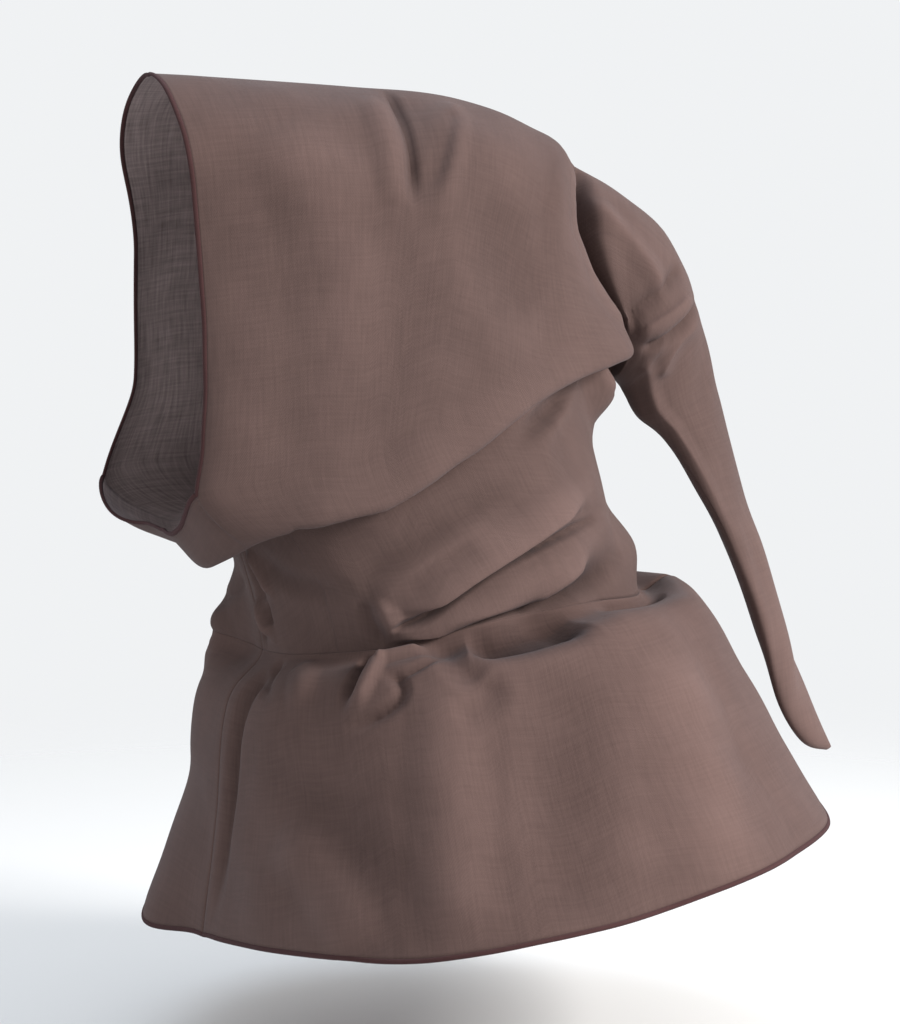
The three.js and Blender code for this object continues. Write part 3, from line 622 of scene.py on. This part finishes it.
def clothMaterial(name, look):
    material = bpy.data.materials.new(name)
    material.use_nodes = True
    tree = material.node_tree
    shader = tree.nodes["Principled BSDF"]
    uv = node(tree, "ShaderNodeUVMap", {"uv_map": "weave"}, {})
    split = node(tree, "ShaderNodeSeparateXYZ", {}, {0: uv})
    across, down = split, Wire(split.socket.node.outputs[1], tree)
    across, down = across * (1 / mm), down * (1 / mm)

    def streaks(width, length, detail):
        where = node(tree, "ShaderNodeCombineXYZ", {}, {0: across / width, 1: down / length})
        return node(tree, "ShaderNodeTexNoise", {"noise_dimensions": "2D"},
                    {"Vector": where, "Scale": 1, "Detail": detail, "Roughness": 0.6})

    warpSlub, weftSlub, patches = (streaks(*look[name]) for name in ("warpSlub", "weftSlub", "patches"))
    pitch = 2 * math.pi / look["threadPitch"]
    warp, weft = sine(across * pitch), sine(down * pitch)
    threads = warp * weft
    crest = node(tree, "ShaderNodeAttribute", {"attribute_name": "crest"}, {}, "Fac")
    tone = (warpSlub - 0.5) * look["slubTone"] + (weftSlub - 0.5) * look["slubTone"] * look["weftShare"]
    tone = tone + (patches - 0.5) * look["patchTone"] + threads * look["threadTone"]
    # Painted shade in fold valleys and painted light on raised folds, from the fold height
    tone = tone + crest * look["crestTone"]
    shade = node(tree, "ShaderNodeMix", {"data_type": "RGBA", "clamp_factor": False},
                 {"Factor": tone + 0.5, 6: look["dark"], 7: look["light"]}, 2)
    tree.links.new(shade.socket, shader.inputs["Base Color"])
    rough = (warpSlub - 0.5) * look["roughnessTone"] + look["roughness"]
    tree.links.new(rough.socket, shader.inputs["Roughness"])
    heights = threads * look["threadShare"] + warpSlub * look["slubHeight"]
    heights = heights + weftSlub * look["slubHeight"] * look["weftShare"]
    distance = look["threadHeight"] * mm
    bump = node(tree, "ShaderNodeBump", {},
                {"Strength": look["bump"], "Distance": distance, "Height": heights}, "Normal")
    tree.links.new(bump.socket, shader.inputs["Normal"])
    shader.inputs["Specular IOR Level"].default_value = look["specular"]
    shader.inputs["Sheen Weight"].default_value = look["sheen"]
    shader.inputs["Sheen Roughness"].default_value = look["sheenRoughness"]
    shader.inputs["Sheen Tint"].default_value = look["sheenTint"]
    return material


# Sizes are in millimetres on the cloth: streaks by width, length and detail
clothLook = {
    "dark": (0.046, 0.029, 0.026, 1), "light": (0.122, 0.078, 0.07, 1),
    "warpSlub": (1.5, 26, 2), "weftSlub": (30, 1.7, 2), "patches": (42, 55, 3), "weftShare": 0.7,
    "slubTone": 0.32, "patchTone": 0.3, "threadTone": 0.14, "crestTone": 0.35,
    "threadPitch": 0.8, "threadHeight": 0.2, "threadShare": 0.5, "slubHeight": 0.6, "bump": 0.6,
    "roughness": 0.88, "roughnessTone": 0.12, "specular": 0.12,
    "sheen": 0.06, "sheenRoughness": 0.45, "sheenTint": (0.75, 0.85, 1, 1),
}
# The cape's fold valleys get stronger painted shade
capeLook = {
    **clothLook, "dark": (0.048, 0.029, 0.026, 1), "light": (0.128, 0.081, 0.072, 1), "crestTone": 0.42,
}
# The inside: a slubbier weave, and a paler colour painted on to stand in for the light that reaches into the
# hood
insideLookWithPaintedLight = {
    **clothLook, "dark": (0.095, 0.073, 0.071, 1), "light": (0.37, 0.295, 0.29, 1),
    "slubTone": 0.75, "slubHeight": 0.9, "crestTone": 0,
}
hemLook = {
    **clothLook, "dark": (0.022, 0.009, 0.009, 1), "light": (0.08, 0.036, 0.036, 1), "threadPitch": 0.6,
}
hoodMaterial = clothMaterial("dustyBrownHoodCotton", clothLook)
capeMaterial = clothMaterial("dustyBrownCapeCotton", capeLook)
insideMaterialWithPaintedLight = clothMaterial("dustyBrownCottonInside", insideLookWithPaintedLight)
hemMaterial = clothMaterial("maroonHemThread", hemLook)
print("Materials made")

# The hood's two side panels
hoodCloth = {
    "thickness": 0.7,
    "seed": 11,
    "stations": ([-0.3, 0, 0.9, 1], [36, 112, 26]),
    "levels": ([0, 0.03, 1, 2, 3, 3.3, 4.1, 4.5, 4.86, 5], [4, 106, 14, 14, 8, 16, 26, 12, 6]),
    "uneven": {"waves": 26, "size": 46, "rise": 0.5},
    "calm": {"back": 0.06, "front": 0.05, "seam": 0.12, "ridge": 0.1},  # folds fade in from each seam
    "tuckedFrom": 4.5, "rounds": 8,
    "chinStart": 270,  # from the ridge, along the cloth
    "flat": (0.42, 0.52), "area": 0.14,
}


def hoodPanel(side, seed):
    us, vs = spaced(*hoodCloth["stations"]), spaced(*hoodCloth["levels"])
    sheet = gridSheet(us, vs, hoodGridPoint, lambda u, v: (u >= -tiny) | (v >= level["jaw"] - tiny))
    near = hoodCloth["calm"]

    def calm(u, v):
        low = np.maximum(v, rolledLevel(u, v))
        ends = ease((us[-1] - u) / near["back"]) * ease((u - us[0]) / near["front"])
        return ends * ease((level["seam"] - low) / near["seam"])

    foldSheet(sheet, foldsOf(hoodFolds, side), hoodGridPoint, calm)
    drift = uneven(sheet["place"], seed=seed, **hoodCloth["uneven"])
    drift *= calm(sheet["u"], sheet["v"]) * ease(sheet["v"] / near["ridge"])
    sheet["place"] += normalsOf(sheet) * drift[:, None]
    tucked = np.flatnonzero((sheet["v"] > hoodCloth["tuckedFrom"]) & (sheet["v"] < level["seam"]))
    place = sheet["place"]
    for _ in range(hoodCloth["rounds"]):  # rounds the cloth where it tucks in at the neck seam
        place[tucked] = (place[tucked - 1] + 2 * place[tucked] + place[tucked + 1]) / 4
    backSeam = (sheet["u"] == us[-1]) & (sheet["v"] >= level["tuck"])
    settlePanel(sheet, side, (sheet["v"] == level["ridge"]) | (sheet["u"] == us[0]) | backSeam)
    measure(sheet, vs[np.argmin(np.abs(vs - level["fold"]))], hoodCloth["chinStart"])
    return sheet


# The cape's two halves
capeCloth = {
    "thickness": 0.7,
    "seed": 21,
    "stations": ([-0.3, 1], [240]),
    "levels": ([0, 0.1, 0.5, 1], [14, 38, 40]),
    "uneven": {"waves": 26, "size": 60, "rise": 0.6},
    "calm": {"back": 0.08, "front": 0.05, "neck": 0.1},
    "flat": (0.46, 0.46), "area": 0.11,
}


def capePanel(side, seed):
    us, vs = spaced(*capeCloth["stations"]), spaced(*capeCloth["levels"])
    sheet = gridSheet(us, vs, capePoint)
    near = capeCloth["calm"]

    def calm(u, v):
        return ease((us[-1] - u) / near["back"]) * ease((u - us[0]) / near["front"]) * ease(v / near["neck"])

    foldSheet(sheet, foldsOf(capeFolds, side), capePoint, calm)
    drift = uneven(sheet["place"], seed=seed, **capeCloth["uneven"])
    sheet["place"] += normalsOf(sheet) * (drift * calm(sheet["u"], sheet["v"]))[:, None]
    settlePanel(sheet, side, (sheet["u"] == us[0]) | (sheet["u"] == us[-1]))
    measure(sheet, vs[len(vs) // 2])
    return sheet


# The long tail, calm near its root, with painted light making it paler towards its end
tailCloth = {
    "thickness": 0.6,
    "seed": 31,
    "steps": ([0, 1, 3, 13.9], [20, 34, 140]),
    "turns": 120, "fineTurns": 400,
    "uneven": {"waves": 24, "size": 40, "rise": 0.4},
    "calm": {"folds": 1.6, "drift": 2},
    # Painted light: how much the tail's end is painted paler, the step where that starts and over how many
    # steps it grows
    "faded": {"by": 9, "from": 8, "run": 4},
    "flat": (0.34, 0.45), "area": 0.06,
}


def tailTube(seed):
    steps = spaced(*tailCloth["steps"])
    fine = np.linspace(0, 1, tailCloth["fineTurns"])
    shares = along(turnLine, "turn", "share", fine)
    half = np.interp(np.linspace(0, 1, tailCloth["turns"] // 2 + 1), shares, fine)
    turns = np.concatenate([half, -half[1:-1][::-1]])
    sheet = gridSheet(steps, turns, tailPoint, closed=True)

    def calm(u, v):
        return ease(u / tailCloth["calm"]["folds"])

    for side in (1, -1):
        onSide = sheet["v"] * side >= 0
        foldSheet(sheet, foldsOf(tailFolds, side), lambda u, v: tailPoint(u, side * v), calm, side, onSide)
    # Painted light: a raised fold height near the tail's end paints its colour paler there
    faded = tailCloth["faded"]
    sheet["height"] += faded["by"] * ease((sheet["u"] - faded["from"]) / faded["run"])
    drift = uneven(sheet["place"], seed=seed, **tailCloth["uneven"])
    sheet["place"] += normalsOf(sheet) * (drift * ease(sheet["u"] / tailCloth["calm"]["drift"]))[:, None]
    rows = sheet["place"].reshape(len(steps), len(turns), 3)
    spans = np.linalg.norm(np.diff(rows, axis=1, append=rows[:, :1]), axis=2)
    around = np.concatenate([np.zeros((len(steps), 1)), np.cumsum(spans, axis=1)[:, :-1]], axis=1)
    onward = np.linalg.norm(np.diff(rows.mean(axis=1), axis=0, prepend=rows[:1].mean(axis=1)), axis=1)
    sheet["width"], sheet["length"] = around.ravel(), np.repeat(np.cumsum(onward), len(turns))
    tip = len(sheet["place"])
    ring = tip - len(turns) + np.arange(len(turns))
    sheet["place"] = np.vstack([sheet["place"], rows[-1].mean(axis=0)])
    for key in ("u", "v", "width", "length", "height"):
        sheet[key] = np.append(sheet[key], sheet[key][-1])
    sheet["faces"] = sheet["faces"].tolist() + [[a, b, tip] for a, b in zip(ring, np.roll(ring, -1))]
    return sheet


pieces = {}
for part, panel, cut, material in (("hood", hoodPanel, hoodCloth, hoodMaterial),
                                   ("cape", capePanel, capeCloth, capeMaterial)):
    for side, word in ((1, "left"), (-1, "right")):
        name = part + "_" + word
        sheet = panel(side, cut["seed"] + side)
        piece = makeCloth(name + "_cloth", sheet, cut["thickness"], (material, insideMaterialWithPaintedLight))
        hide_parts(name)
        part + "_cloth"
        pieces[part, side] = (piece, sheet)
        print("Panel", name, "made, cloth", round(areaOf(sheet), 4), "square metres")
tailSheet = tailTube(tailCloth["seed"])
tail = makeCloth("liripipe_cloth", tailSheet, tailCloth["thickness"], (hoodMaterial, insideMaterialWithPaintedLight))
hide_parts("liripipe")
print("Tail made")


# Rolled hems, sewn over the cloth's raw edges. Each reaches out from the edge by a share of its width.
hemCord = {
    "width": 3, "thickness": 2, "outward": 0.2, "inset": 0.35,
    "sides": 12, "step": 0.5, "wrap": 1.3, "wrapHeight": 0.12, "besideSteps": 2,
}


def hemRing(part, stops, beside):  # points on the edge, with normals and the points next to them
    def edge(sheet):
        normals = normalsOf(sheet)
        found, near = ([np.flatnonzero((sheet["u"] == u) & (sheet["v"] == v))[0] for u, v in spots]
                       for spots in (stops, beside))
        return np.stack([sheet["place"][found], normals[found], sheet["place"][near]], axis=1)

    left, right = (edge(pieces[part, side][1]) for side in (1, -1))
    first, last = (left[0] + right[0]) / 2, (left[-1] + right[-1]) / 2
    return np.concatenate([[first], left[1:-1], [last], right[1:-1][::-1]])


def makeHem(name, ring, material):
    closed = np.concatenate([ring, ring[:1]])
    run = np.concatenate([[0], np.cumsum(np.linalg.norm(np.diff(closed[:, 0], axis=0), axis=1))])
    count = int(run[-1] / hemCord["step"])
    at = np.arange(count) * run[-1] / count
    place, normal, beside = (np.stack([np.interp(at, run, closed[:, k, axis]) for axis in range(3)], axis=1)
                             for k in range(3))
    ahead = hemCord["besideSteps"]
    onward = unit(np.roll(place, -ahead, axis=0) - np.roll(place, ahead, axis=0))
    out = unit(np.cross(onward, normal))
    out *= np.sign(((place - beside) * out).sum(axis=1, keepdims=True))
    up = unit(np.cross(out, onward))
    up *= np.sign((up * normal).sum(axis=1, keepdims=True))
    middle = place + out * hemCord["width"] * hemCord["outward"] - up * hemCord["inset"]
    sides = hemCord["sides"]
    angle = np.linspace(0, 2 * math.pi, sides, endpoint=False)
    wraps = round(run[-1] / hemCord["wrap"])
    rib = 1 + hemCord["wrapHeight"] * np.sin(at[:, None] / run[-1] * wraps * 2 * math.pi + angle)
    wide, thick = np.cos(angle) * rib * hemCord["width"] / 2, np.sin(angle) * rib * hemCord["thickness"] / 2
    points = middle[:, None] + out[:, None] * wide[..., None] + up[:, None] * thick[..., None]
    i, k = (axis.ravel() for axis in np.meshgrid(np.arange(count), np.arange(sides), indexing="ij"))
    nextI, nextK = (i + 1) % count, (k + 1) % sides
    faces = np.stack([i * sides + k, nextI * sides + k, nextI * sides + nextK, i * sides + nextK], axis=1)
    mesh = bpy.data.meshes.new(name)
    mesh.from_pydata((points.reshape(-1, 3) * mm).tolist(), [], faces.tolist())
    weave = mesh.uv_layers.new(name="weave")
    across = np.stack([k, k, k + 1, k + 1], axis=1) * hemCord["width"] * math.pi / sides
    down = np.stack([i, i + 1, i + 1, i], axis=1) * hemCord["step"]
    weave.data.foreach_set("uv", np.stack([across.ravel(), down.ravel()], axis=1).ravel() * mm)
    # The hems carry no painted fold shade
    mesh.attributes.new("crest", "FLOAT", "POINT")
    piece = pieceOf(name, mesh, [material])
    bpy.ops.object.mode_set(mode="EDIT")
    bpy.ops.mesh.select_all(action="SELECT")
    bpy.ops.mesh.normals_make_consistent(inside=False)
    bpy.ops.object.mode_set(mode="OBJECT")
    return piece


hoodStations, hoodLevels = spaced(*hoodCloth["stations"]), spaced(*hoodCloth["levels"])
jawAt, rimAt = np.argmin(np.abs(hoodLevels - level["jaw"])), np.argmin(np.abs(hoodStations))
down = [(hoodStations[rimAt], v) for v in hoodLevels[:jawAt]]
inward = [(u, hoodLevels[jawAt]) for u in hoodStations[rimAt::-1]]
besideFace = [(hoodStations[rimAt + 1], v) for v in hoodLevels[:jawAt]]
besideFace += [(hoodStations[rimAt + 1], hoodLevels[jawAt + 1])]
besideFace += [(u, hoodLevels[jawAt + 1]) for u in hoodStations[rimAt - 1::-1]]
faceHem = makeHem("face_hem_cord", hemRing("hood", down + inward, besideFace), hemMaterial)
capeStations, capeLevels = spaced(*capeCloth["stations"]), spaced(*capeCloth["levels"])
lowest, besideLowest = ([(u, v) for u in capeStations] for v in (capeLevels[-1], capeLevels[-2]))
capeHem = makeHem("cape_hem_cord", hemRing("cape", lowest, besideLowest), hemMaterial)
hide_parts("face_hem")
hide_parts("cape_hem")
for piece in (faceHem, capeHem):
    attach(piece, "root")
print("Hems made")

for (part, side), (piece, sheet) in pieces.items():
    cut = hoodCloth if part == "hood" else capeCloth
    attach(piece, "root")
    faceHem if part == "hood" else capeHem
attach(tail, "root")

# Floor, soft studio light and the camera
studio = {
    "floorLevel": -0.6, "floorSize": 5, "floorWhole": 0.3, "floorGone": 1.6,
    "floorColor": (0.72, 0.72, 0.72, 1), "floorRoughness": 0.9,
    "skyColor": (0.97, 0.985, 1, 1), "skyStrength": 0.9,
    "azimuth": 68, "elevation": 6, "distance": 1.8, "target": (0, 0.033, -0.256),
    "millimetresPerPixel": 0.62, "imageHeight": 1024, "sensor": 36,
}
bpy.ops.mesh.primitive_plane_add(size=studio["floorSize"], location=(0, 0, studio["floorLevel"]))
floor = bpy.context.object
floor.name = "floor"
floorMaterial = bpy.data.materials.new("paleFloor")
floorMaterial.use_nodes = True
floorShader = floorMaterial.node_tree.nodes["Principled BSDF"]
floorShader.inputs["Base Color"].default_value = studio["floorColor"]
floorShader.inputs["Roughness"].default_value = studio["floorRoughness"]
floorTree = floorMaterial.node_tree
where = node(floorTree, "ShaderNodeTexCoord", {}, {}, "Object")
spread = node(floorTree, "ShaderNodeVectorMath", {"operation": "LENGTH"}, {0: where}, "Value")
faded = node(floorTree, "ShaderNodeMapRange", {"interpolation_type": "SMOOTHERSTEP"},
             {"Value": spread, "From Min": studio["floorWhole"], "From Max": studio["floorGone"],
              "To Min": 1, "To Max": 0})
floorTree.links.new(faded.socket, floorShader.inputs["Alpha"])
floor.data.materials.append(floorMaterial)

world = bpy.data.worlds.new("studio")
bpy.context.scene.world = world
world.use_nodes = True
sky = world.node_tree.nodes["Background"]
sky.inputs["Color"].default_value = studio["skyColor"]
sky.inputs["Strength"].default_value = studio["skyStrength"]

azimuth, elevation = math.radians(studio["azimuth"]), math.radians(studio["elevation"])
back = Vector((math.sin(azimuth) * math.cos(elevation), -math.cos(azimuth) * math.cos(elevation),
               math.sin(elevation)))
right = Vector((math.cos(azimuth), math.sin(azimuth), 0))
up = back.cross(right)
target = Vector(studio["target"])
camera = bpy.data.objects.new("camera", bpy.data.cameras.new("camera"))
bpy.context.scene.collection.objects.link(camera)
turn = [(right[axis], up[axis], back[axis], 0) for axis in range(3)]
camera.matrix_world = Matrix(turn + [(0, 0, 0, 1)])
camera.location = target + back * studio["distance"]
camera.data.sensor_width = studio["sensor"]
wide = studio["imageHeight"] * studio["millimetresPerPixel"] * mm
camera.data.lens = camera.data.sensor_width * studio["distance"] / wide
bpy.context.scene.camera = camera

lamps = {
    "key": {"from": (1, 0.5, 0.55), "distance": 1.9, "size": 0.5, "power": 56, "color": (1, 0.97, 0.93)},
    "top": {"from": (-0.1, 1, 0), "distance": 1.8, "size": 1.2, "power": 12, "color": (0.7, 0.84, 1)},
}
for name, lamp in lamps.items():
    light = bpy.data.objects.new(name, bpy.data.lights.new(name, "AREA"))
    light.data.size, light.data.energy, light.data.color = lamp["size"], lamp["power"], lamp["color"]
    toward = (right * lamp["from"][0] + up * lamp["from"][1] + back * lamp["from"][2]).normalized()
    light.location = target + toward * lamp["distance"]
    light.rotation_euler = toward.to_track_quat("Z", "Y").to_euler()
    bpy.context.scene.collection.objects.link(light)
bpy.context.scene.view_settings.view_transform = "Standard"
print("Studio set")
